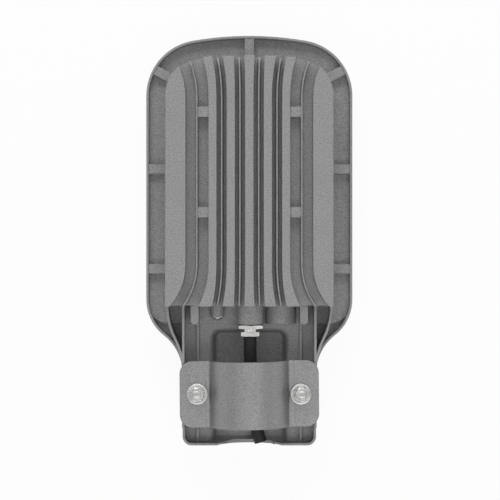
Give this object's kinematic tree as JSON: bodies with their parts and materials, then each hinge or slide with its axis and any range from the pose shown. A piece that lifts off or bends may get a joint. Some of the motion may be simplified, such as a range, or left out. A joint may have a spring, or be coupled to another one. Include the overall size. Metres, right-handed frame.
{
  "type": "led street light head",
  "caption": "Flat die-cast street light head with a finned heatsink block on top, a window below and a pole trough with a bolted clamp plate at its tail.",
  "frame": {"origin": "centre of the head in plan, on the plane of its underside", "axes": "+Y towards the nose, away from the pole; +Z out of the heatsink side; +X across, to the right when looking down on the heatsink with the nose up"},
  "size_m": [0.1546, 0.307, 0.061],
  "materials": {
    "powder_coat": "fine sand-texture grey powder coat on aluminium",
    "zinc_steel": "bright zinc plate",
    "nickel_brass": "nickel plate",
    "black_rubber": "matt",
    "cable_sheath": "satin black sheath",
    "core_insulation": "satin",
    "aluminium": "plain sheet",
    "window_glass": "clear toughened",
    "lens_plastic": "clear acrylic",
    "white_board": "white solder mask",
    "led_yellow": "phosphor",
    "terminal_plastic": "moulded"
  },
  "bodies": {
    "root": {"housing": "powder_coat", "clamp_plate": "powder_coat", "clamp_screws": "zinc_steel", "spring_washers": "zinc_steel", "flat_washers": "zinc_steel", "earth_washer": "zinc_steel", "earth_screw": "zinc_steel", "frame_screws": "zinc_steel", "tray_screws": "zinc_steel", "board_screws": "zinc_steel", "driver_screws": "zinc_steel", "gland_body": "nickel_brass", "gland_nut": "nickel_brass", "gland_gasket": "black_rubber", "gland_seal": "black_rubber", "window_gasket": "black_rubber", "gland_cable": "cable_sheath", "mains_cable": "cable_sheath", "cable_cores": "core_insulation", "driver_leads": "core_insulation", "led_leads": "core_insulation", "window_frame": "aluminium", "gear_tray": "aluminium", "driver": "aluminium", "window_glass": "window_glass", "lens_sheet": "lens_plastic", "led_board": "white_board", "led_packages": "led_yellow", "terminal_block": "terminal_plastic"}
  },
  "joints": []
}
